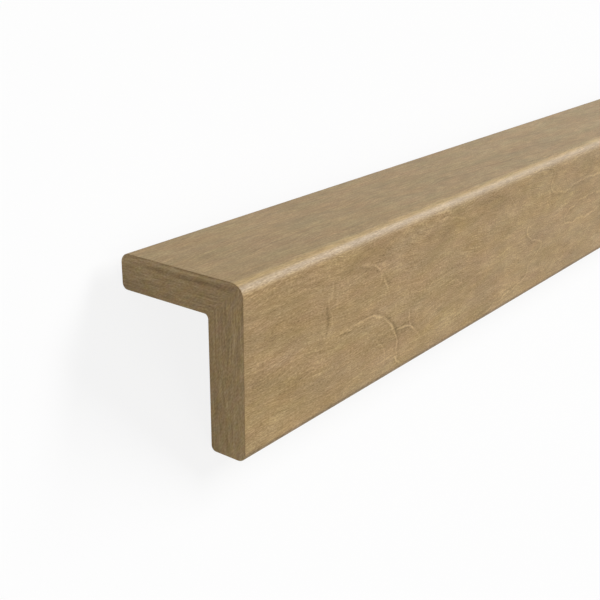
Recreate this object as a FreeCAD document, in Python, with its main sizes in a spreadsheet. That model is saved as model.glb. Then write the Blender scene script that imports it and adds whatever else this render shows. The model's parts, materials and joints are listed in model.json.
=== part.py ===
"""Corner guard moulding: one length of wooden L-section trim that covers the outside corner of a wall.

The section has two legs of unequal width and thickness, a rounded heel where they meet, rounded tips and
a small fillet in the inner corner. The length lies unheld on a floor, on its two tips, with the heel
uppermost like the ridge of a roof. X runs along the length, Z is up, and the origin is on the floor,
under the middle of the length and halfway across it.
"""

import FreeCAD, Part
import os

import Sketcher
from FreeCAD import Vector

DIMENSIONS = [
    # (alias, millimetres, what it measures)
    ("stock_length", "1200", "one sold length"),
    ("wide_leg", "40", "outer width of the wide leg, from the heel's sharp corner to the tip"),
    ("narrow_leg", "35", "outer width of the narrow leg, from the heel's sharp corner to the tip"),
    ("wide_thickness", "9.7", "thickness of the wide leg"),
    ("narrow_thickness", "8.5", "thickness of the narrow leg"),
    ("heel_radius", "3", "round on the heel, where a hand or a trolley meets the corner"),
    ("inner_radius", "1", "fillet where the two backs meet"),
    ("wide_outer_radius", "2.2", "round on the wide leg's tip, at its show face"),
    ("wide_inner_radius", "1.3", "round on the wide leg's tip, at its back"),
    ("narrow_outer_radius", "2.4", "round on the narrow leg's tip, at its show face"),
    ("narrow_inner_radius", "1.5", "round on the narrow leg's tip, at its back"),
]

# Corners of the section, counter-clockwise from the heel: (y, z, round). Y runs along the narrow leg from
# the heel, and Z runs up, so the wide leg hangs down from the heel.
CORNERS = [
    ("0", "0", "heel_radius"),
    ("0", "-wide_leg", "wide_outer_radius"),
    ("wide_thickness", "-wide_leg", "wide_inner_radius"),
    ("wide_thickness", "-narrow_thickness", "inner_radius"),
    ("narrow_leg", "-narrow_thickness", "narrow_inner_radius"),
    ("narrow_leg", "0", "narrow_outer_radius"),
]
# Sides of the section, each from its corner in CORNERS to the next one
WIDE_SHOW, WIDE_TIP, WIDE_BACK, NARROW_BACK, NARROW_TIP, NARROW_SHOW = range(6)
ORIGIN, H_AXIS, V_AXIS = -1, -1, -2  # how a sketch numbers its origin point and its two axes
START, END = 1, 2  # how a sketch numbers the two ends of a line or arc

NODE = "corner_guard"


def add_dimensions(doc):
    """The sheet of driving dimensions, one named cell each."""
    sheet = doc.addObject("Spreadsheet::Sheet", "Dimensions")
    for row, (alias, value, meaning) in enumerate(DIMENSIONS, start=1):
        sheet.set(f"A{row}", meaning)
        sheet.set(f"B{row}", value)
        sheet.setAlias(f"B{row}", alias)
    doc.recompute()
    return sheet


def sketch_section(body, sheet):
    """The section as a closed outline: six straight sides joined by six rounds, fully constrained."""
    sketch = body.newObject("Sketcher::SketchObject", "Section")
    plane = next(f for f in body.Origin.OriginFeatures if f.Role == "YZ_Plane")
    sketch.AttachmentSupport = [(plane, "")]
    sketch.MapMode = "FlatFace"

    def size(term):
        """The value of a corner's term: a plain 0, or an alias with an optional minus sign."""
        if term == "0":
            return 0.0
        return -sheet.get(term[1:]) if term.startswith("-") else sheet.get(term)

    points = [Vector(size(y), size(z), 0) for y, z, _ in CORNERS]
    count = len(points)
    directions = [(points[(i + 1) % count] - points[i]).normalize() for i in range(count)]

    arcs = []
    starts, ends = [], []  # where each round begins and ends, going counter-clockwise
    for i, (_, _, radius_alias) in enumerate(CORNERS):
        radius = sheet.get(radius_alias)
        before, after = directions[i - 1], directions[i]
        first, last = points[i] - before * radius, points[i] + after * radius
        centre = points[i] + (after - before) * radius
        middle = centre + (points[i] - centre).normalize() * radius
        convex = before.cross(after).z > 0
        arc = Part.ArcOfCircle(first, middle, last) if convex else Part.ArcOfCircle(last, middle, first)
        geometry = sketch.addGeometry(arc)
        arcs.append((geometry, START, END) if convex else (geometry, END, START))
        starts.append(first)
        ends.append(last)

    sides = []
    for i in range(count):
        side = sketch.addGeometry(Part.LineSegment(ends[i], starts[(i + 1) % count]))
        along = "Vertical" if abs(directions[i].y) > abs(directions[i].x) else "Horizontal"
        sketch.addConstraint(Sketcher.Constraint(along, side))
        sides.append(side)

    for i in range(count):
        arc, _, arc_end = arcs[i]
        sketch.addConstraint(Sketcher.Constraint("Tangent", arc, arc_end, sides[i], START))
        arc, arc_start, _ = arcs[(i + 1) % count]
        sketch.addConstraint(Sketcher.Constraint("Tangent", sides[i], END, arc, arc_start))

    def bind(alias, *constraint):
        """Adds a dimension that follows the sheet's cell of the same name."""
        index = sketch.addConstraint(Sketcher.Constraint(*constraint, sheet.get(alias)))
        sketch.renameConstraint(index, alias)
        sketch.setExpression(f"Constraints.{alias}", f"Dimensions.{alias}")

    sketch.addConstraint(Sketcher.Constraint("PointOnObject", sides[WIDE_SHOW], START, V_AXIS))
    sketch.addConstraint(Sketcher.Constraint("PointOnObject", sides[NARROW_SHOW], START, H_AXIS))
    bind("wide_leg", "DistanceY", sides[WIDE_TIP], START, ORIGIN, START)
    bind("narrow_leg", "DistanceX", ORIGIN, START, sides[NARROW_TIP], START)
    bind("wide_thickness", "DistanceX", ORIGIN, START, sides[WIDE_BACK], START)
    bind("narrow_thickness", "DistanceY", sides[NARROW_BACK], START, ORIGIN, START)
    for (arc, _, _), (_, _, radius_alias) in zip(arcs, CORNERS):
        bind(radius_alias, "Radius", arc)
    return sketch


def add_rest_pose(doc):
    """How the length lies on the floor: its tilt about X, and how far it is then lifted and shifted.

    The floor touches the rounds at the back of the two tips, so their centres and radii give the tilt and
    the lift. The rounds at the tips' show faces are the widest points, and give the shift to the middle.
    """
    pose = doc.addObject("App::VarSet", "RestPose")
    values = [
        # (name, kind, expression): the centres of the four tip rounds, then the pose that follows
        ("wide_back_y", "Distance", "Dimensions.wide_thickness - Dimensions.wide_inner_radius"),
        ("wide_back_z", "Distance", "Dimensions.wide_inner_radius - Dimensions.wide_leg"),
        ("narrow_back_y", "Distance", "Dimensions.narrow_leg - Dimensions.narrow_inner_radius"),
        ("narrow_back_z", "Distance", "Dimensions.narrow_inner_radius - Dimensions.narrow_thickness"),
        ("wide_show_y", "Distance", "Dimensions.wide_outer_radius"),
        ("wide_show_z", "Distance", "Dimensions.wide_outer_radius - Dimensions.wide_leg"),
        ("narrow_show_y", "Distance", "Dimensions.narrow_leg - Dimensions.narrow_outer_radius"),
        ("narrow_show_z", "Distance", "-Dimensions.narrow_outer_radius"),
        ("span", "Distance", "hypot(narrow_back_y - wide_back_y; narrow_back_z - wide_back_z)"),
        (
            "tilt",
            "Angle",
            "atan2(narrow_back_z - wide_back_z; narrow_back_y - wide_back_y)"
            " - asin((Dimensions.narrow_inner_radius - Dimensions.wide_inner_radius) * 1 mm / span)",
        ),
        (
            "lift",
            "Distance",
            "narrow_back_y * sin(tilt) - narrow_back_z * cos(tilt)"
            " + Dimensions.narrow_inner_radius * 1 mm",
        ),
        (
            "wide_reach",
            "Distance",
            "wide_show_y * cos(tilt) + wide_show_z * sin(tilt) - Dimensions.wide_outer_radius * 1 mm",
        ),
        (
            "narrow_reach",
            "Distance",
            "narrow_show_y * cos(tilt) + narrow_show_z * sin(tilt)"
            " + Dimensions.narrow_outer_radius * 1 mm",
        ),
        ("shift", "Distance", "-(wide_reach + narrow_reach) / 2"),
    ]
    for name, kind, expression in values:
        pose.addProperty(f"App::Property{kind}", name, "Rest")
        pose.setExpression(name, expression)
    return pose


def add_moulding(doc, sheet):
    """The moulding itself: its section run out to the stock length, then laid on its two tips."""
    body = doc.addObject("PartDesign::Body", "CornerGuard")
    body.Label = NODE
    section = sketch_section(body, sheet)
    doc.recompute()

    run = body.newObject("PartDesign::Pad", "Run")
    run.Profile = section
    run.SideType = "Symmetric"
    run.setExpression("Length", "Dimensions.stock_length")

    body.setExpression(
        "Placement",
        "placement(vector(0; RestPose.shift; RestPose.lift); rotation(vector(1; 0; 0); -RestPose.tilt))",
    )
    return body


def check(doc, pieces):
    """Stops before anything is written if an object failed or a piece isn't one sound solid."""
    for item in doc.Objects:
        if {"Invalid", "Error"} & set(item.State):
            raise RuntimeError(f"{item.Label} failed: {item.State}")
    for piece in pieces:
        shape = piece.Shape
        if shape.isNull() or not shape.isValid() or len(shape.Solids) != 1:
            raise RuntimeError(f"{piece.Label} isn't one valid solid")
    section = doc.getObject("Section")
    if not section.FullyConstrained:
        raise RuntimeError("the section's outline isn't fully constrained")


def main():
    doc = FreeCAD.newDocument("CornerGuardMoulding")
    sheet = add_dimensions(doc)
    add_rest_pose(doc)
    pieces = [add_moulding(doc, sheet)]
    doc.recompute()
    check(doc, pieces)

    os.makedirs("parts", exist_ok=True)
    for piece in pieces:
        piece.Shape.exportStep(f"parts/{piece.Label}.step")
        box = piece.Shape.BoundBox
        print(f"{piece.Label}: {box}, {piece.Shape.Volume:.1f} mm3")
    pose = doc.getObject("RestPose")
    print(f"tilt {pose.tilt}, lift {pose.lift}, shift {pose.shift}")


main()
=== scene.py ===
"""Corner guard moulding: one length of stained birch L-section trim, lying heel up on its two tips."""

import json
import math

import bpy
from mathutils import Matrix, Vector


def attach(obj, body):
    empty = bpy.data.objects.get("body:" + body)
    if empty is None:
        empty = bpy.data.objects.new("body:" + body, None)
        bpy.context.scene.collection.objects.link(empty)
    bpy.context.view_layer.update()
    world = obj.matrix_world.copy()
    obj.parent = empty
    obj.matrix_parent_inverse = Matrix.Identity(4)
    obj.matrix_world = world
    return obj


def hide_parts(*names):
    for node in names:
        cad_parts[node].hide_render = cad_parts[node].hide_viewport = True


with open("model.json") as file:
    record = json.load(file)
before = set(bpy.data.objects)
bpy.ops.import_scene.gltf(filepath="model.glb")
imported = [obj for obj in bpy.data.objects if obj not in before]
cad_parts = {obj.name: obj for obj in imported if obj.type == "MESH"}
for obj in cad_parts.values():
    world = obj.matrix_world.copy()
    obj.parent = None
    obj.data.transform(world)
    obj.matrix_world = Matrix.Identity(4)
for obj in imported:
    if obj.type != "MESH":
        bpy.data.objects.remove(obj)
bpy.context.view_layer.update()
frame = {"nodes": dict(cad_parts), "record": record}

NODE = "corner_guard"
PIECE = "corner_guard_moulding"
MM = 0.001

# Sanded rounds of the section and the eased edge of a sawn end, in millimetres
HEEL_ROUND = 3.0
INNER_ROUND = 1.0
WIDE_OUTER_ROUND = 2.2
WIDE_INNER_ROUND = 1.3
NARROW_OUTER_ROUND = 2.4
NARROW_INNER_ROUND = 1.5
END_ARRIS = 0.2

# Points over each round and along the length, and steps over the eased edge
ROUND_POINTS = 14
LENGTH_POINTS = 49
ARRIS_STEPS = 2

# Only edges that turn by more than this many degrees are eased, which leaves the rounds alone
ARRIS_TURN = 60

# How much a large flat face decides the shading where a round meets it: 50 is neutral and 100 the most
FLAT_FACE_WEIGHT = 100

# A face whose normal lies along the length by more than this is a sawn end
END_FACING = 0.9

# Layers of the grain: size along, across and through the wood in millimetres, and the weight in the tone on
# the wide leg and on the narrow one, which is cut nearer to the quarter and has longer, quieter streaks.
# Birch pores are about 0.1 mm wide, too fine to show, so on the faces they are drawn 0.25 mm wide
FACE_GRAIN = {
    "pores": ((0.8, 0.25, 0.25), 1.85, 1.1),
    "fibres": ((3.5, 0.28, 0.28), 1.15, 0.9),
    "streaks": ((7.0, 0.6, 0.6), 0.8, 1.1),
    "mottle": ((6.0, 2.4, 2.4), 0.6, 0.5),
    "clouds": ((22.0, 9.0, 9.0), 0.9, 0.55),
    "bands": ((120.0, 9.0, 9.0), 0.4, 0.4),
}
END_GRAIN = {
    "pores": ((2.0, 0.6, 0.4), 1.4, 1.4),
    "fibres": ((8.0, 4.0, 0.5), 1.15, 1.15),
    "streaks": ((8.0, 14.0, 1.0), 0.8, 0.8),
}

# Octaves of the noise in the grain and its slow changes, its middle value, and the tone that it swings around
GRAIN_DETAIL = 1.0
NOISE_MIDDLE = 0.5
MIDDLE_TONE = 0.5

# The legs' grain runs into each other over this much of the heel, each side of its middle
LEG_BLEND = 2.5

# Slow wander of the fibres: size along, across and through, and how far they swing from side to side
WANDER_SIZE = (26.0, 12.0, 12.0)
WANDER = 5.0

# Edges of growth rings on the show faces by the near end, as arcs: the middle along and across, half the
# length and width, the degrees that it runs between, and how strong the pale line and the dark one beside it
# are. A pale line below zero is a dark one. The dark line lies outside the arc, or inside it if below zero
GROWTH_ARCS = {
    "loop": ((44.0, -33.5), (14.4, 12.8), (-26, 92), 1.0, 0.35),
    "loop_arm": ((43.0, -60.7), (40.0, 40.0), (79, 100), 1.0, 0.35),
    "loop_shade": ((44.0, -33.5), (14.4, 12.8), (8, 64), 0.0, 0.5),
    "loop_hook": ((60.8, -34.6), (3.2, 3.2), (165, 265), 1.1, 0.0),
    "loop_root": ((35.5, -51.6), (30.0, 30.0), (85, 95.5), -1.1, 0.0),
    "loop_branch": ((59.8, -36.4), (9.5, 8.8), (12, 118), 0.8, 0.1),
    "branch_root": ((59.8, -36.4), (9.5, 8.8), (62, 118), 0.5, 0.0),
    "loop_spur": ((72.0, -24.5), (8.4, 7.8), (168, 240), 0.8, -0.25),
    "loop_lining": ((44.0, -34.0), (9.0, 7.0), (-30, 70), 0.6, 0.25),
    "upper_slope": ((36.5, -36.3), (30.0, 30.0), (60, 84), 0.8, -0.4),
    "upper_corner": ((47.9, -11.7), (2.6, 2.6), (-60, 85), 0.9, 0.2),
    "upper_tail": ((54.6, -11.8), (3.2, 3.2), (170, 290), 0.8, -0.5),
    "stray_shade": ((-30.0, -16.2), (57.9, 30.0), (-9, 9), 0.0, 1.0),
    "stray_edge": ((-30.0, -17.2), (60.3, 30.0), (-7, 7), 0.5, 0.0),
    "stray_top": ((-30.0, -10.3), (60.8, 30.0), (-5, 5), 0.6, 0.5),
    "side_dash": ((66.0, -26.0), (5.0, 6.0), (55, 125), 0.7, 0.0),
    "far_loop": ((84.5, -27.5), (7.0, 5.2), (15, 135), 0.6, 0.3),
    "heel_line": ((72.0, -27.0), (40.0, 23.5), (60, 88), 0.7, 0.3),
    "near_line": ((15.0, -207.0), (200.0, 200.0), (86, 94), 0.6, 0.0),
    "narrow_pale_streak": ((20.0, -180.0), (200.0, 200.0), (86.5, 93.5), 0.8, 0.0),
    "narrow_dark_streak": ((35.0, -186.5), (200.0, 200.0), (84.5, 95.5), -0.7, 0.0),
}

# Ring edges on a sawn end, in the same way but across and through the section
END_ARCS = {
    "outer_ring": ((15.0, -199.1), (200.0, 200.0), (85, 95), 0.45, 0.0),
    "second_ring": ((14.0, -198.6), (200.0, 200.0), (85, 95), 0.0, 0.9),
    "wide_ring": ((-22.0, -196.8), (200.0, 200.0), (86, 94), 0.35, 0.0),
    "dark_check": ((-31.5, -195.0), (200.0, 200.0), (89, 91), -0.7, 0.0),
}

# Strokes at a ring's edge, as tones and half widths in millimetres: the pale line, the dull trough that it
# lies in, and the dark line, whose middle lies this far beside the edge
PALE_LINE = 0.62
PALE_LINE_WIDTH = 0.55
TROUGH = 0.15
TROUGH_WIDTH = 1.7
DARK_LINE = 0.5
DARK_LINE_WIDTH = 0.85
DARK_LINE_OFFSET = 0.8

# Share of an arc over which each of its ends fades
LINE_FADE = 0.25

# Depths between which the arcs of the show faces give way to the growth rings of the backs
BACK_RING_FADE = (2.5, 5.0)

# Growth rings elsewhere: the pith's place across and behind the faces, the distance between two rings, and
# how far a ring climbs for each millimetre along
PITH_ACROSS = -24.0
PITH_DEPTH = 45.0
RING_SPACING = 3.6
RING_CLIMB = 0.045

# Swell of the rings: the full swing of its noise, and its size along, across and through
RING_SWELL = 11.0
RING_SWELL_SIZE = (55.0, 16.0, 16.0)

# Strength of these rings' pale line on each leg and of the dark one, and where along they start and are full
RING_PALE = (0.8, 0.3)
RING_DARK = -0.4
RING_FADE = (92.0, 112.0)

# Step for measuring how closely the rings lie, and the least closeness, in rings for each millimetre
RING_STEP = 0.5
RING_LEAST_RISE = 0.04

# The rings show only where another slow noise is past the first of these, and in full past the second
RING_SHOWN = (0.36, 0.52)

# Wobble of all ring edges: the full swing of its noise, its size and its octaves
RING_WOBBLE = 2.4
RING_WOBBLE_SIZE = 4.0
RING_WOBBLE_DETAIL = 1.5

# Over this part of the wobble's noise, the edges' strength goes from the first to the second of these
PATCH_NOISE = (0.3, 0.65)
PATCH_STRENGTH = (1.4, 0.6)

# Tones of the darkest and the palest stain, and the dark, middle and pale shade of the faces and the ends
TONE_RANGE = (-0.5, 1.5)
FACE_SHADES = ("#765F38", "#A1865D", "#CDB081")
END_SHADES = ("#6B5333", "#927A54", "#B9A276")

# Tone of the heel: partly paler stain where sanding thins it, and partly painted light that the round catches
# from the lamps; and where that starts and is full on each leg and in depth
HEEL_SANDING_AND_PAINTED_LIGHT = 0.6
HEEL_WIDE_FADE = (-0.3, 1.6)
HEEL_NARROW_FADE = (4.0, 2.0)
HEEL_DEPTH_FADE = (4.0, 2.0)

# Tone of the strip just under the heel, a little darker, and where that starts and is full from each side
UNDER_HEEL_TONE = -0.16
UNDER_HEEL_TOP_FADE = (-1.5, -3.5)
UNDER_HEEL_FOOT_FADE = (-9.5, -7.0)

# Painted shade on the tips, whose rounds turn away from the light, and where that starts and is full along
# each leg
TIP_PAINTED_SHADE = -0.8
WIDE_TIP_FADE = (-37.7, -38.7)
NARROW_TIP_FADE = (32.5, 33.7)

# How much smoother handling and sanding leave the middle of the heel, how much of the stain's blotches they
# take away there, and where that starts and is full on each leg
HEEL_POLISH = 0.08
HEEL_CALM = 0.75
POLISH_WIDE_FADE = (-3.0, -0.5)
POLISH_NARROW_FADE = (3.0, 0.5)

# How much rougher the backs are, which are planed and stained but not lacquered, and how deep that starts
BACK_ROUGHNESS = 0.3
BACK_FADE = (5.0, 7.0)

# Tone of a sawn end's rim along the show faces, and the depths where that starts and is full
RIM_TONE = -0.3
RIM_FADE = (0.3, 0.0)

# Painted light and shade on the sawn ends: the tone is lowered by the heel and raised towards the tips,
# against the shade that the moulding's shadow on the floor leaves by the tips. How much the tone rises for
# each millimetre along a leg, and the distance from the heel at which it is neither raised nor lowered
END_PAINTED_LIGHT_RISE = 0.009
END_LEVEL_REACH = 16.0

# Step in the noise between a sawn end's two legs, so that the streaks of one don't run on in the other
END_LEG_SHIFT = 37.0

# The legs' streaks meet on a sawn end in a ragged mitre: the size of its teeth, and their swing as a share of
# the leg's thickness
MITRE_TOOTH = 0.8
MITRE_SWING = 0.5

# Blotches of the stain: size along, across and through, and the middle and half range of what each dye lets
# through of red and of blue, each on the wide and the narrow leg
FACE_BLOTCHES = {
    "size": (18.0, 5.0, 5.0),
    "red": ((1.0, 1.0), (0.1, 0.18)),
    "blue": ((1.0, 0.94), (0.25, 0.13)),
}
END_BLOTCHES = {
    "size": (8.0, 2.5, 2.0),
    "red": ((1.0, 1.0), (0.18, 0.18)),
    "blue": ((1.0, 1.0), (0.43, 0.43)),
}

# Octaves of the blotches' noise, and how strong each is beside the one before
BLOTCH_DETAIL = 4.0
BLOTCH_ROUGHNESS = 0.65

# Satin lacquer: its index of refraction, a reflection weakened by the thin coat, its roughness over this part
# of the fibres' noise, and how high the fibres stand, in millimetres
LACQUER_IOR = 1.5
LACQUER_SPECULAR = 0.28
FIBRE_NOISE = (0.3, 0.7)
LACQUER_ROUGHNESS = (0.56, 0.44)
FIBRE_RELIEF = 0.02

# Camera, in the section's frame: millimetres from the near end of the heel, and degrees
CAMERA_EYE = (-145.01, -126.21, 69.06)
CAMERA_TARGET = (18.56, 0.0, -8.39)
CAMERA_ROLL = 0.35

# Its lens and sensor in millimetres, and the nearest distance that it sees in metres
CAMERA_LENS = 61.87
CAMERA_SENSOR = 36.0
CAMERA_NEAREST = 0.01

# Softboxes: direction from the near end, distance in metres, direction of the long side, size in metres, and
# level, where 1 lights a surface that faces the lamp so that it renders as its own colour
SOFTBOXES = {
    "front_softbox": ((0.0, -0.588, 0.809), 3.0, (1.0, 0.0, 0.0), (2.4, 1.5), 0.18),
    "near_softbox": ((-0.85, -0.35, 0.40), 3.0, (0.0, 1.0, 0.0), (2.0, 2.0), 0.25),
    "far_strip": ((0.73, 0.11, 0.674), 10.0, (-0.215, -0.90, 0.377), (8.0, 1.6), 1.04),
}

# Level of the fill from all round
ROOM_LEVEL = 0.12

# The floor: half its size in metres, and the colours of its paint and of the background
FLOOR_HALF = 12.0
FLOOR_PAINT = "#F6F6F6"
WHITE = "#FFFFFF"

# The floor as the camera sees it: how white it is by the moulding, and over which distances in metres it
# fades to full white, so that it ends in the background without a line
FLOOR_WHITE_SHARE = 0.85
FLOOR_FADE = (0.9, 2.5)


def srgb(code):
    """The linear colour, with alpha, of an sRGB hex value."""
    channels = [int(code[start:start + 2], 16) / 255 for start in (1, 3, 5)]
    linear = [c / 12.92 if c <= 0.04045 else ((c + 0.055) / 1.055) ** 2.4 for c in channels]
    return (*linear, 1.0)


def feed(tree, node, inputs):
    """Fills a node's inputs with values, or with the nodes or sockets that feed them."""
    for key, value in inputs.items():
        if isinstance(value, bpy.types.Node):
            value = value.outputs[0]
        if isinstance(value, bpy.types.NodeSocket):
            tree.links.new(value, node.inputs[key])
        else:
            node.inputs[key].default_value = value


def add_node(tree, kind, inputs=None, **settings):
    """Adds a node with its settings and feeds its inputs."""
    node = tree.nodes.new(kind)
    for name, value in settings.items():
        setattr(node, name, value)
    feed(tree, node, inputs or {})
    return node


# The section's own frame: X along from the near end, Y across the narrow leg from the heel, Z up the wide leg
mounts = {mount["name"]: mount for mount in frame["record"]["mounts"]}
cad_node = frame["nodes"][NODE]
across_axis = Vector(mounts["wide_leg_back"]["axis"]).normalized()
up_axis = -Vector(mounts["narrow_leg_back"]["axis"]).normalized()
cad_points = [cad_node.matrix_world @ vertex.co for vertex in cad_node.data.vertices]
along_reach = [point.x for point in cad_points]
across_reach = [point.dot(across_axis) for point in cad_points]
up_reach = [point.dot(up_axis) for point in cad_points]
heel_across = min(across_reach)
heel_up = max(up_reach)
wide_back = Vector(mounts["wide_leg_back"]["pos_m"]).dot(across_axis)
narrow_back = Vector(mounts["narrow_leg_back"]["pos_m"]).dot(up_axis)
near_heel = Vector((min(along_reach), 0, 0)) + across_axis * heel_across + up_axis * heel_up
section_turn = Matrix(((1, 0, 0), across_axis, up_axis)).transposed()
section_to_row = Matrix.Translation(near_heel) @ section_turn.to_4x4()
row_to_section = section_to_row.inverted()

# The section's sizes in metres, by the names of the sweep's inputs
sizes = {
    "Length": max(along_reach) - min(along_reach),
    "Wide Leg": heel_up - min(up_reach),
    "Narrow Leg": max(across_reach) - heel_across,
    "Wide Thickness": wide_back - heel_across,
    "Narrow Thickness": heel_up - narrow_back,
    "Heel Round": HEEL_ROUND * MM,
    "Narrow Outer Round": NARROW_OUTER_ROUND * MM,
    "Narrow Inner Round": NARROW_INNER_ROUND * MM,
    "Inner Round": INNER_ROUND * MM,
    "Wide Inner Round": WIDE_INNER_ROUND * MM,
    "Wide Outer Round": WIDE_OUTER_ROUND * MM,
}


def section_coordinates(tree):
    """A point's place in the section, in millimetres, as nodes and sockets.

    Along runs from the near end, over along the narrow leg and up along the wide one. Across unrolls both
    legs over the heel, above zero on the narrow one. Through goes from the show faces, at 0, to the backs,
    and wide_depth and narrow_depth are the same as shares of each leg's thickness. Narrow_share goes smoothly
    from 0 on the wide leg to 1 on the narrow one.
    """
    place, turn, _ = row_to_section.decompose()
    texture = add_node(tree, "ShaderNodeTexCoord")
    section = add_node(tree, "ShaderNodeMapping", {
        "Vector": texture.outputs["Object"],
        "Location": place / MM,
        "Rotation": turn.to_euler(),
        "Scale": (1 / MM, 1 / MM, 1 / MM),
    })
    along, over, up = add_node(tree, "ShaderNodeSeparateXYZ", {0: section}).outputs
    across = add_node(tree, "ShaderNodeMath", {0: over, 1: up})
    wide_depth = add_node(tree, "ShaderNodeMath", {
        0: over,
        1: MM / sizes["Wide Thickness"],
    }, operation="MULTIPLY")
    narrow_depth = add_node(tree, "ShaderNodeMath", {
        0: up,
        1: -MM / sizes["Narrow Thickness"],
    }, operation="MULTIPLY")
    depth = add_node(tree, "ShaderNodeMath", {0: wide_depth, 1: narrow_depth}, operation="MINIMUM")
    through = add_node(tree, "ShaderNodeMath", {
        0: depth,
        1: sizes["Wide Thickness"] / MM,
    }, operation="MULTIPLY")
    narrow_share = add_node(tree, "ShaderNodeMapRange", {
        "Value": across,
        "From Min": -LEG_BLEND,
        "From Max": LEG_BLEND,
    }, interpolation_type="SMOOTHSTEP")
    return {
        "along": along,
        "over": over,
        "up": up,
        "across": across,
        "through": through,
        "wide_depth": wide_depth,
        "narrow_depth": narrow_depth,
        "narrow_share": narrow_share,
    }


def soft_zone(tree, strength, limits):
    """A strength that fades in smoothly from the start to the end of each limit's reach."""
    for reach, start, end in limits:
        side = add_node(tree, "ShaderNodeMapRange", {
            "Value": reach,
            "From Min": start,
            "From Max": end,
        }, interpolation_type="SMOOTHSTEP")
        strength = add_node(tree, "ShaderNodeMath", {0: side, 1: strength}, operation="MULTIPLY")
    return strength


def shrink_to_grain(tree, place, size):
    """A place counted in grains of a size along, across and through, for a noise of scale 1."""
    return add_node(tree, "ShaderNodeVectorMath", {
        0: place,
        1: [1 / part for part in size],
    }, operation="MULTIPLY")


def edge_strokes(tree, gap, pale, dark):
    """The tone at a gap in millimetres from a ring's edge.

    A pale line lies on the edge in a dull trough, and a dark line beside it.
    """
    dark_side = add_node(tree, "ShaderNodeMath", {0: dark}, operation="SIGN")
    side = add_node(tree, "ShaderNodeMath", {0: gap, 1: dark_side}, operation="MULTIPLY")
    dark_gap = add_node(tree, "ShaderNodeMath", {0: side, 1: DARK_LINE_OFFSET}, operation="SUBTRACT")
    dark_strength = add_node(tree, "ShaderNodeMath", {0: dark}, operation="ABSOLUTE")
    tone = 0.0
    strokes = (
        (gap, PALE_LINE_WIDTH, PALE_LINE, pale),
        (gap, TROUGH_WIDTH, -TROUGH, pale),
        (dark_gap, DARK_LINE_WIDTH, -DARK_LINE, dark_strength),
    )
    for reach, width, peak, strength in strokes:
        distance = add_node(tree, "ShaderNodeMath", {0: reach}, operation="ABSOLUTE")
        stroke = add_node(tree, "ShaderNodeMapRange", {
            "Value": distance,
            "From Max": width,
            "To Min": peak,
            "To Max": 0.0,
        }, interpolation_type="SMOOTHSTEP")
        tone = add_node(tree, "ShaderNodeMath", {
            0: stroke,
            1: strength,
            2: tone,
        }, operation="MULTIPLY_ADD")
    return tone


def growth_line_group():
    """A node group that draws part of one growth ring's edge, on an ellipse between two angles."""
    tree = bpy.data.node_groups.new("growth_line", "ShaderNodeTree")
    for name in ("Along", "Across", "Centre Along", "Centre Across", "Half Length", "Half Width",
                 "From", "To", "Pale", "Dark"):
        tree.interface.new_socket(name=name, in_out="INPUT", socket_type="NodeSocketFloat")
    tree.interface.new_socket(name="Tone", in_out="OUTPUT", socket_type="NodeSocketFloat")
    given = add_node(tree, "NodeGroupInput").outputs
    place = add_node(tree, "ShaderNodeCombineXYZ", {"X": given["Along"], "Y": given["Across"]})
    centre = add_node(tree, "ShaderNodeCombineXYZ", {
        "X": given["Centre Along"],
        "Y": given["Centre Across"],
    })
    half = add_node(tree, "ShaderNodeCombineXYZ", {
        "X": given["Half Length"],
        "Y": given["Half Width"],
        "Z": 1.0,
    })

    # The gap to the ellipse, from how far the place is past it and how steeply that changes there
    offset = add_node(tree, "ShaderNodeVectorMath", {0: place, 1: centre}, operation="SUBTRACT")
    arm = add_node(tree, "ShaderNodeVectorMath", {0: offset, 1: half}, operation="DIVIDE")
    fall = add_node(tree, "ShaderNodeVectorMath", {0: arm, 1: half}, operation="DIVIDE")
    reach = add_node(tree, "ShaderNodeVectorMath", {0: arm}, operation="LENGTH").outputs["Value"]
    steepness = add_node(tree, "ShaderNodeVectorMath", {0: fall}, operation="LENGTH").outputs["Value"]
    past = add_node(tree, "ShaderNodeMath", {0: reach, 1: 1.0}, operation="SUBTRACT")
    scale = add_node(tree, "ShaderNodeMath", {0: reach, 1: steepness}, operation="DIVIDE")
    gap = add_node(tree, "ShaderNodeMath", {0: past, 1: scale}, operation="MULTIPLY")
    tone = edge_strokes(tree, gap, given["Pale"], given["Dark"])

    # The angle round the ellipse, counted within half a turn of the arc's middle, fades both ends
    steps = add_node(tree, "ShaderNodeSeparateXYZ", {0: arm}).outputs
    angle = add_node(tree, "ShaderNodeMath", {0: steps["Y"], 1: steps["X"]}, operation="ARCTAN2")
    total = add_node(tree, "ShaderNodeMath", {0: given["From"], 1: given["To"]})
    middle = add_node(tree, "ShaderNodeMath", {0: total, 1: 0.5}, operation="MULTIPLY")
    below = add_node(tree, "ShaderNodeMath", {0: middle, 1: math.pi}, operation="SUBTRACT")
    above = add_node(tree, "ShaderNodeMath", {0: middle, 1: math.pi})
    angle = add_node(tree, "ShaderNodeMath", {0: angle, 1: above, 2: below}, operation="WRAP")
    span = add_node(tree, "ShaderNodeMath", {0: given["To"], 1: given["From"]}, operation="SUBTRACT")
    for limit, share in ((given["From"], LINE_FADE), (given["To"], -LINE_FADE)):
        inside = add_node(tree, "ShaderNodeMath", {0: span, 1: share, 2: limit}, operation="MULTIPLY_ADD")
        tone = soft_zone(tree, tone, ((angle, limit, inside),))
    add_node(tree, "NodeGroupOutput", {"Tone": tone})
    return tree


growth_line = growth_line_group()


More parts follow.
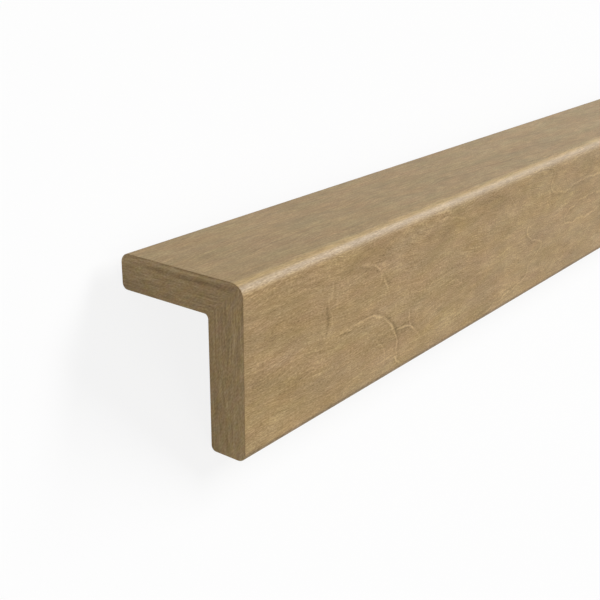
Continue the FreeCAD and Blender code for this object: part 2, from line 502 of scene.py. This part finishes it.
def grain_tone(tree, grain_place, narrow_share, grain):
    """Adds up the layers of the grain around the middle tone, and returns the sum and the finest layer."""
    tone = MIDDLE_TONE
    finest = None
    for size, on_wide, on_narrow in grain.values():
        noise = add_node(tree, "ShaderNodeTexNoise", {
            "Vector": shrink_to_grain(tree, grain_place, size),
            "Scale": 1.0,
            "Detail": GRAIN_DETAIL,
        })
        swing = add_node(tree, "ShaderNodeMath", {0: noise, 1: NOISE_MIDDLE}, operation="SUBTRACT")
        weight = add_node(tree, "ShaderNodeMapRange", {
            "Value": narrow_share,
            "To Min": on_wide,
            "To Max": on_narrow,
        })
        tone = add_node(tree, "ShaderNodeMath", {0: swing, 1: weight, 2: tone}, operation="MULTIPLY_ADD")
        finest = finest or noise
    return tone, finest


def arc_tone(tree, along, across, arcs):
    """Adds up the ring edges that a table of arcs draws."""
    tone = 0.0
    for middle, half, span, pale, dark in arcs.values():
        line = add_node(tree, "ShaderNodeGroup", {
            "Along": along,
            "Across": across,
            "Centre Along": middle[0],
            "Centre Across": middle[1],
            "Half Length": half[0],
            "Half Width": half[1],
            "From": math.radians(span[0]),
            "To": math.radians(span[1]),
            "Pale": pale,
            "Dark": dark,
        }, node_tree=growth_line)
        tone = add_node(tree, "ShaderNodeMath", {0: line, 1: tone})
    return tone


def ring_count(tree, spot):
    """The growth rings from the pith out to a place, and the noise that they swell by."""
    arm = add_node(tree, "ShaderNodeVectorMath", {
        0: spot,
        1: (0.0, 1.0, 1.0),
        2: (0.0, -PITH_ACROSS, PITH_DEPTH),
    }, operation="MULTIPLY_ADD")
    radius = add_node(tree, "ShaderNodeVectorMath", {0: arm}, operation="LENGTH").outputs["Value"]
    swell = add_node(tree, "ShaderNodeTexNoise", {
        "Vector": shrink_to_grain(tree, spot, RING_SWELL_SIZE),
        "Scale": 1.0,
        "Detail": GRAIN_DETAIL,
    })
    swollen = add_node(tree, "ShaderNodeMath", {
        0: swell,
        1: RING_SWELL,
        2: radius,
    }, operation="MULTIPLY_ADD")
    climb = add_node(tree, "ShaderNodeVectorMath", {
        0: spot,
        1: (RING_CLIMB, 0.0, 0.0),
    }, operation="DOT_PRODUCT").outputs["Value"]
    grown = add_node(tree, "ShaderNodeMath", {0: swollen, 1: climb})
    return add_node(tree, "ShaderNodeMath", {0: grown, 1: RING_SPACING}, operation="DIVIDE"), swell


def pith_ring_tone(tree, place, spot):
    """The tone of the edges of the growth rings round the pith, in the patches where they show."""
    rings, swell = ring_count(tree, spot)
    rises = []
    for step in ((RING_STEP, 0.0, 0.0), (0.0, RING_STEP, 0.0)):
        beside = add_node(tree, "ShaderNodeVectorMath", {0: spot, 1: step}, operation="ADD")
        rings_beside, _ = ring_count(tree, beside)
        rise = add_node(tree, "ShaderNodeMath", {0: rings_beside, 1: rings}, operation="SUBTRACT")
        rises.append(add_node(tree, "ShaderNodeMath", {0: rise, 1: RING_STEP}, operation="DIVIDE"))
    slope = add_node(tree, "ShaderNodeCombineXYZ", {"X": rises[0], "Y": rises[1]})
    steepness = add_node(tree, "ShaderNodeVectorMath", {0: slope}, operation="LENGTH").outputs["Value"]
    steepness = add_node(tree, "ShaderNodeMath", {0: steepness, 1: RING_LEAST_RISE}, operation="MAXIMUM")
    part = add_node(tree, "ShaderNodeMath", {0: rings, 1: 0.5, 2: -0.5}, operation="WRAP")
    gap = add_node(tree, "ShaderNodeMath", {0: part, 1: steepness}, operation="DIVIDE")
    pale = add_node(tree, "ShaderNodeMapRange", {
        "Value": place["narrow_share"],
        "To Min": RING_PALE[0],
        "To Max": RING_PALE[1],
    })
    tone = edge_strokes(tree, gap, pale, RING_DARK)
    slow = add_node(tree, "ShaderNodeSeparateColor", {0: swell.outputs["Color"]}).outputs["Green"]
    return soft_zone(tree, tone, ((slow, *RING_SHOWN),))


def ring_figure(tree, place, straight):
    """The tone of all ring edges: the arcs by the near end, and rings round the pith everywhere else."""
    noise = add_node(tree, "ShaderNodeTexNoise", {
        "Vector": straight,
        "Scale": 1 / RING_WOBBLE_SIZE,
        "Detail": RING_WOBBLE_DETAIL,
    })
    wobble = add_node(tree, "ShaderNodeVectorMath", {
        0: noise.outputs["Color"],
        1: (NOISE_MIDDLE, NOISE_MIDDLE, NOISE_MIDDLE),
    }, operation="SUBTRACT")
    bent = add_node(tree, "ShaderNodeVectorMath", {
        0: wobble,
        1: (RING_WOBBLE, RING_WOBBLE, 0.0),
        2: straight,
    }, operation="MULTIPLY_ADD")
    bent_along, bent_across, _ = add_node(tree, "ShaderNodeSeparateXYZ", {0: bent}).outputs
    rings = pith_ring_tone(tree, place, bent)
    arcs = arc_tone(tree, bent_along, bent_across, GROWTH_ARCS)
    beyond = soft_zone(tree, 1.0, ((place["along"], *RING_FADE),))
    behind = soft_zone(tree, 1.0, ((place["through"], *BACK_RING_FADE),))
    in_front = add_node(tree, "ShaderNodeMath", {0: 1.0, 1: behind}, operation="SUBTRACT")
    arcs = add_node(tree, "ShaderNodeMath", {0: arcs, 1: in_front}, operation="MULTIPLY")
    away = add_node(tree, "ShaderNodeMath", {0: beyond, 1: behind}, operation="MAXIMUM")
    tone = add_node(tree, "ShaderNodeMath", {0: rings, 1: away, 2: arcs}, operation="MULTIPLY_ADD")
    patches = add_node(tree, "ShaderNodeMapRange", {
        "Value": noise.outputs["Fac"],
        "From Min": PATCH_NOISE[0],
        "From Max": PATCH_NOISE[1],
        "To Min": PATCH_STRENGTH[0],
        "To Max": PATCH_STRENGTH[1],
    })
    return add_node(tree, "ShaderNodeMath", {0: tone, 1: patches}, operation="MULTIPLY")


def stain_colour(tree, straight, narrow_share, tone, shades, blotches, dyed):
    """The stain's colour for a tone, with blotches where its dyes let more or less red and blue through."""
    level = add_node(tree, "ShaderNodeMapRange", {
        "Value": tone,
        "From Min": TONE_RANGE[0],
        "From Max": TONE_RANGE[1],
    })
    dark, medium, pale = (srgb(shade) for shade in shades)
    colour = add_node(tree, "ShaderNodeValToRGB", {"Fac": level})
    ramp = colour.color_ramp.elements
    ramp[0].color = dark
    ramp[1].color = pale
    ramp.new(0.5).color = medium
    patches = add_node(tree, "ShaderNodeTexNoise", {
        "Vector": shrink_to_grain(tree, straight, blotches["size"]),
        "Scale": 1.0,
        "Detail": BLOTCH_DETAIL,
        "Roughness": BLOTCH_ROUGHNESS,
    })
    first, second, _ = add_node(tree, "ShaderNodeSeparateColor", {0: patches.outputs["Color"]}).outputs
    shift = {}
    for name, source in (("red", first), ("blue", second)):
        swing = add_node(tree, "ShaderNodeMapRange", {"Value": source, "To Min": -1.0, "To Max": 1.0})
        swing = add_node(tree, "ShaderNodeMath", {0: swing, 1: dyed}, operation="MULTIPLY")
        middle, reach = (add_node(tree, "ShaderNodeMapRange", {
            "Value": narrow_share,
            "To Min": on_wide,
            "To Max": on_narrow,
        }) for on_wide, on_narrow in blotches[name])
        shift[name] = add_node(tree, "ShaderNodeMath", {
            0: swing,
            1: reach,
            2: middle,
        }, operation="MULTIPLY_ADD")
    dye = add_node(tree, "ShaderNodeCombineXYZ", {"X": shift["red"], "Y": 1.0, "Z": shift["blue"]})
    return add_node(tree, "ShaderNodeVectorMath", {0: colour, 1: dye}, operation="MULTIPLY")


def satin_lacquer(tree, stain, fibres, polish=0.0):
    """Ends a material with the stain under a satin sheen and a slight relief that follow the fibres."""
    sheen = add_node(tree, "ShaderNodeMapRange", {
        "Value": fibres,
        "From Min": FIBRE_NOISE[0],
        "From Max": FIBRE_NOISE[1],
        "To Min": LACQUER_ROUGHNESS[0],
        "To Max": LACQUER_ROUGHNESS[1],
    })
    roughness = add_node(tree, "ShaderNodeMath", {0: sheen, 1: polish}, operation="SUBTRACT")
    relief = add_node(tree, "ShaderNodeBump", {
        "Height": fibres,
        "Strength": 1.0,
        "Distance": FIBRE_RELIEF * MM,
    })
    surface = add_node(tree, "ShaderNodeBsdfPrincipled", {
        "Base Color": stain,
        "Roughness": roughness,
        "Normal": relief,
        "IOR": LACQUER_IOR,
        "Specular IOR Level": LACQUER_SPECULAR,
    })
    add_node(tree, "ShaderNodeOutputMaterial", {"Surface": surface})


def empty_material(name):
    """A new material without nodes, and its node tree."""
    material = bpy.data.materials.new(name)
    material.use_nodes = True
    material.node_tree.nodes.clear()
    return material, material.node_tree


def stained_birch_face():
    """Birch, planed and sanded, wiped with a thin brown stain and sealed with satin lacquer.

    The eye gets fine short fibres that the stain picks out, slow darker bands, a few ring edges that loop
    over the flats, a heel paler from thinner stain and from painted light, tips darkened with painted shade,
    and a soft sheen that breaks up along the fibres.
    """
    material, tree = empty_material("stained_birch_face")
    place = section_coordinates(tree)
    across = place["across"]
    through = place["through"]
    narrow_share = place["narrow_share"]
    straight = add_node(tree, "ShaderNodeCombineXYZ", {"X": place["along"], "Y": across, "Z": through})
    wander = add_node(tree, "ShaderNodeTexNoise", {
        "Vector": shrink_to_grain(tree, straight, WANDER_SIZE),
        "Scale": 1.0,
        "Detail": GRAIN_DETAIL,
    })
    swing = add_node(tree, "ShaderNodeMapRange", {
        "Value": wander,
        "To Min": -WANDER / 2,
        "To Max": WANDER / 2,
    })
    swung = add_node(tree, "ShaderNodeMath", {0: across, 1: swing})
    fibre_place = add_node(tree, "ShaderNodeCombineXYZ", {"X": place["along"], "Y": swung, "Z": through})
    tone, fibres = grain_tone(tree, fibre_place, narrow_share, FACE_GRAIN)
    tone = add_node(tree, "ShaderNodeMath", {0: tone, 1: ring_figure(tree, place, straight)})

    # Where the tone changes: painted shade on the tips, a heel paler from thinner stain and painted light, a
    # darker strip under the heel
    front = (through, *HEEL_DEPTH_FADE)
    zones = (
        (TIP_PAINTED_SHADE, ((place["up"], *WIDE_TIP_FADE),)),
        (TIP_PAINTED_SHADE, ((place["over"], *NARROW_TIP_FADE),)),
        (HEEL_SANDING_AND_PAINTED_LIGHT, ((across, *HEEL_WIDE_FADE), (across, *HEEL_NARROW_FADE), front)),
        (UNDER_HEEL_TONE, ((across, *UNDER_HEEL_TOP_FADE), (across, *UNDER_HEEL_FOOT_FADE), front)),
    )
    for strength, limits in zones:
        tone = add_node(tree, "ShaderNodeMath", {0: tone, 1: soft_zone(tree, strength, limits)})

    # The heel is rubbed smoother and calmer in colour, and the backs are left without lacquer
    rubbed = soft_zone(tree, 1.0, ((across, *POLISH_WIDE_FADE), (across, *POLISH_NARROW_FADE), front))
    smoother = add_node(tree, "ShaderNodeMath", {0: rubbed, 1: HEEL_POLISH}, operation="MULTIPLY")
    unsealed = soft_zone(tree, BACK_ROUGHNESS, ((through, *BACK_FADE),))
    polish = add_node(tree, "ShaderNodeMath", {0: smoother, 1: unsealed}, operation="SUBTRACT")
    dyed = add_node(tree, "ShaderNodeMapRange", {"Value": rubbed, "To Min": 1.0, "To Max": 1.0 - HEEL_CALM})
    stain = stain_colour(tree, straight, narrow_share, tone, FACE_SHADES, FACE_BLOTCHES, dyed)
    satin_lacquer(tree, stain, fibres, polish)
    return material


def stained_birch_end():
    """The same birch sawn across: end grain drinks more stain, so it is darker and streaked along each leg.

    Each leg has streaks of its own, which meet in a mitre. The tone is lower by the heel and higher by the
    tips, painted light and shade that evens out the floor's shadow there, and the sawn rim is darker still.
    """
    material, tree = empty_material("stained_birch_end")
    place = section_coordinates(tree)
    narrow_share = place["narrow_share"]
    section = add_node(tree, "ShaderNodeCombineXYZ", {
        "X": place["along"],
        "Y": place["over"],
        "Z": place["up"],
    })
    teeth = add_node(tree, "ShaderNodeTexNoise", {
        "Vector": section,
        "Scale": 1 / MITRE_TOOTH,
        "Detail": GRAIN_DETAIL,
    })
    ragged = add_node(tree, "ShaderNodeMapRange", {
        "Value": teeth,
        "To Min": -MITRE_SWING / 2,
        "To Max": MITRE_SWING / 2,
    })
    ragged_depth = add_node(tree, "ShaderNodeMath", {0: place["wide_depth"], 1: ragged})
    on_wide = add_node(tree, "ShaderNodeMath", {
        0: ragged_depth,
        1: place["narrow_depth"],
    }, operation="LESS_THAN")
    apart = add_node(tree, "ShaderNodeMath", {
        0: on_wide,
        1: END_LEG_SHIFT,
        2: place["through"],
    }, operation="MULTIPLY_ADD")
    straight = add_node(tree, "ShaderNodeCombineXYZ", {
        "X": place["along"],
        "Y": place["across"],
        "Z": apart,
    })
    tone, fibres = grain_tone(tree, straight, narrow_share, END_GRAIN)
    rings = arc_tone(tree, place["across"], place["through"], END_ARCS)
    tone = add_node(tree, "ShaderNodeMath", {0: tone, 1: rings})
    rim = soft_zone(tree, RIM_TONE, ((place["through"], *RIM_FADE),))
    tone = add_node(tree, "ShaderNodeMath", {0: tone, 1: rim})
    # Painted light and shade: the tone rises with the distance from the heel, against the floor's shadow by
    # the tips
    reach = add_node(tree, "ShaderNodeMath", {0: place["across"]}, operation="ABSOLUTE")
    reach = add_node(tree, "ShaderNodeMath", {0: reach, 1: END_LEVEL_REACH}, operation="SUBTRACT")
    tone = add_node(tree, "ShaderNodeMath", {0: reach, 1: END_PAINTED_LIGHT_RISE, 2: tone}, operation="MULTIPLY_ADD")
    stain = stain_colour(tree, straight, narrow_share, tone, END_SHADES, END_BLOTCHES, 1.0)
    satin_lacquer(tree, stain, fibres)
    return material


def moulding_sweep(face, end):
    """The node tree that sweeps the rounded L-section along the length, and its inputs' identifiers."""
    tree = bpy.data.node_groups.new("moulding_sweep", "GeometryNodeTree")
    tree.interface.new_socket(name="Geometry", in_out="OUTPUT", socket_type="NodeSocketGeometry")
    identifiers = {}
    for name in sizes:
        socket = tree.interface.new_socket(name=name, in_out="INPUT", socket_type="NodeSocketFloat")
        identifiers[name] = socket.identifier
    given = add_node(tree, "NodeGroupInput").outputs
    below = {}
    for name in ("Wide Leg", "Narrow Thickness"):
        below[name] = add_node(tree, "ShaderNodeMath", {0: given[name], 1: -1.0}, operation="MULTIPLY")
    corners = (
        (0.0, 0.0, given["Heel Round"]),
        (0.0, below["Wide Leg"], given["Wide Outer Round"]),
        (given["Wide Thickness"], below["Wide Leg"], given["Wide Inner Round"]),
        (given["Wide Thickness"], below["Narrow Thickness"], given["Inner Round"]),
        (given["Narrow Leg"], below["Narrow Thickness"], given["Narrow Inner Round"]),
        (given["Narrow Leg"], 0.0, given["Narrow Outer Round"]),
    )
    index = add_node(tree, "GeometryNodeInputIndex")
    place = add_node(tree, "GeometryNodeIndexSwitch", {0: index}, data_type="VECTOR")
    rounding = add_node(tree, "GeometryNodeIndexSwitch", {0: index}, data_type="FLOAT")
    for switch in (place, rounding):
        while len(switch.index_switch_items) < len(corners):
            switch.index_switch_items.new()
    for number, (over, up, radius) in enumerate(corners, start=1):
        corner = add_node(tree, "ShaderNodeCombineXYZ", {"X": over, "Y": up})
        feed(tree, place, {number: corner})
        feed(tree, rounding, {number: radius})
    dots = add_node(tree, "GeometryNodePoints", {"Count": len(corners)})
    chain = add_node(tree, "GeometryNodePointsToCurves", {0: dots})
    loop = add_node(tree, "GeometryNodeSetSplineCyclic", {0: chain, "Cyclic": True})
    section = add_node(tree, "GeometryNodeSetPosition", {"Geometry": loop, "Position": place})
    rounded = add_node(tree, "GeometryNodeFilletCurve", {
        "Curve": section,
        "Count": ROUND_POINTS,
        "Radius": rounding,
    }, mode="POLY")
    far_end = add_node(tree, "ShaderNodeCombineXYZ", {"Z": given["Length"]})
    line = add_node(tree, "GeometryNodeCurvePrimitiveLine", {"End": far_end})
    run = add_node(tree, "GeometryNodeResampleCurve", {"Curve": line, "Count": LENGTH_POINTS})
    swept = add_node(tree, "GeometryNodeCurveToMesh", {
        "Curve": run,
        "Profile Curve": rounded,
        "Fill Caps": True,
    })
    laid = add_node(tree, "GeometryNodeTransform", {
        "Geometry": swept,
        "Rotation": (math.pi / 2, 0, math.pi / 2),
    })
    smooth = add_node(tree, "GeometryNodeSetShadeSmooth", {0: laid})
    normal = add_node(tree, "ShaderNodeSeparateXYZ", {0: add_node(tree, "GeometryNodeInputNormal")})
    endways = add_node(tree, "ShaderNodeMath", {0: normal.outputs["X"]}, operation="ABSOLUTE")
    is_end = add_node(tree, "FunctionNodeCompare", {0: endways, 1: END_FACING}, operation="GREATER_THAN")
    solid = add_node(tree, "GeometryNodeRealizeInstances", {0: smooth})
    faced = add_node(tree, "GeometryNodeSetMaterial", {"Geometry": solid, "Material": face})
    ended = add_node(tree, "GeometryNodeSetMaterial", {
        "Geometry": faced,
        "Selection": is_end,
        "Material": end,
    })
    add_node(tree, "NodeGroupOutput", {"Geometry": ended})
    return tree, identifiers


def make_moulding(face, end):
    """The moulding as one plain mesh in the row frame."""
    tree, identifiers = moulding_sweep(face, end)
    blank = bpy.data.meshes.new(PIECE)
    piece = bpy.data.objects.new(PIECE, blank)
    bpy.context.collection.objects.link(piece)
    sweep = piece.modifiers.new("sweep", "NODES")
    sweep.node_group = tree
    for name, identifier in identifiers.items():
        sweep[identifier] = sizes[name]
    arris = piece.modifiers.new("end_arris", "BEVEL")
    arris.width = END_ARRIS * MM
    arris.segments = ARRIS_STEPS
    arris.limit_method = "ANGLE"
    arris.angle_limit = math.radians(ARRIS_TURN)
    flats = piece.modifiers.new("flat_faces", "WEIGHTED_NORMAL")
    flats.weight = FLAT_FACE_WEIGHT
    depsgraph = bpy.context.evaluated_depsgraph_get()
    made = bpy.data.meshes.new_from_object(piece.evaluated_get(depsgraph), depsgraph=depsgraph)
    made.transform(section_to_row)
    piece.modifiers.clear()
    piece.data = made
    bpy.data.meshes.remove(blank)
    made.name = PIECE
    return piece


def seen_directly(tree):
    """1 for what the camera sees, also in gloss or through glass, and 0 for light that a surface scatters."""
    path = add_node(tree, "ShaderNodeLightPath").outputs
    seen = add_node(tree, "ShaderNodeMath", {0: path["Is Camera Ray"], 1: path["Is Glossy Ray"]})
    return add_node(tree, "ShaderNodeMath", {0: seen, 1: path["Is Transmission Ray"]}, use_clamp=True)


def pale_floor():
    """A matt white sweep under the moulding, which looks white to the camera and keeps a faint shadow."""
    material, tree = empty_material("white_studio_sweep")
    texture = add_node(tree, "ShaderNodeTexCoord")
    reach = add_node(tree, "ShaderNodeVectorMath", {0: texture.outputs["Object"]}, operation="LENGTH")
    white_share = add_node(tree, "ShaderNodeMapRange", {
        "Value": reach.outputs["Value"],
        "From Min": FLOOR_FADE[0],
        "From Max": FLOOR_FADE[1],
        "To Min": FLOOR_WHITE_SHARE,
        "To Max": 1.0,
    }, interpolation_type="SMOOTHSTEP")
    share = add_node(tree, "ShaderNodeMath", {0: seen_directly(tree), 1: white_share}, operation="MULTIPLY")
    matt = add_node(tree, "ShaderNodeBsdfDiffuse", {"Color": srgb(FLOOR_PAINT)})
    white = add_node(tree, "ShaderNodeEmission", {"Color": srgb(WHITE)})
    mixed = add_node(tree, "ShaderNodeMixShader", {0: share, 1: matt, 2: white})
    add_node(tree, "ShaderNodeOutputMaterial", {"Surface": mixed})
    half = FLOOR_HALF
    corners = [(-half, -half, 0), (half, -half, 0), (half, half, 0), (-half, half, 0)]
    mesh = bpy.data.meshes.new("floor")
    mesh.from_pydata(corners, [], [(0, 1, 2, 3)])
    mesh.materials.append(material)
    floor = bpy.data.objects.new("floor", mesh)
    bpy.context.collection.objects.link(floor)
    return floor


def white_room():
    """A soft grey fill from all round, which the camera and reflections see as white."""
    world = bpy.data.worlds.new("white_room")
    world.use_nodes = True
    tree = world.node_tree
    tree.nodes.clear()
    strength = add_node(tree, "ShaderNodeMapRange", {
        "Value": seen_directly(tree),
        "To Min": ROOM_LEVEL,
        "To Max": 1.0,
    })
    room = add_node(tree, "ShaderNodeBackground", {"Color": srgb(WHITE), "Strength": strength})
    add_node(tree, "ShaderNodeOutputWorld", {"Surface": room})
    bpy.context.scene.world = world


def add_softbox(name, towards, distance, long_side, size, level):
    """A rectangular lamp that hangs in a direction from the near end and faces it."""
    lamp = bpy.data.lights.new(name, "AREA")
    lamp.shape = "RECTANGLE"
    lamp.size, lamp.size_y = size
    lamp.energy = level * math.pi ** 2 * distance ** 2
    back = Vector(towards).normalized()
    side = Vector(long_side)
    side = (side - back * side.dot(back)).normalized()
    turn = Matrix((side, back.cross(side), back)).transposed().to_4x4()
    softbox = bpy.data.objects.new(name, lamp)
    softbox.matrix_world = Matrix.Translation(near_heel + back * distance) @ turn
    softbox.visible_camera = False
    bpy.context.collection.objects.link(softbox)


def add_camera():
    """The photograph's camera, which looks down on the show faces past the near end."""
    lens = bpy.data.cameras.new("camera")
    lens.lens = CAMERA_LENS
    lens.sensor_width = CAMERA_SENSOR
    lens.clip_start = CAMERA_NEAREST
    eye = Vector(CAMERA_EYE) * MM
    aim = (Vector(CAMERA_TARGET) * MM - eye).to_track_quat("-Z", "Y").to_matrix().to_4x4()
    roll = Matrix.Rotation(math.radians(CAMERA_ROLL), 4, "Z")
    camera = bpy.data.objects.new("camera", lens)
    camera.matrix_world = section_to_row @ Matrix.Translation(eye) @ aim @ roll
    bpy.context.collection.objects.link(camera)
    bpy.context.scene.camera = camera


moulding = make_moulding(stained_birch_face(), stained_birch_end())
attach(moulding, "root")
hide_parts(NODE)

pale_floor()
white_room()
for softbox_name, softbox_values in SOFTBOXES.items():
    add_softbox(softbox_name, *softbox_values)
add_camera()
bpy.context.scene.view_settings.view_transform = "Standard"
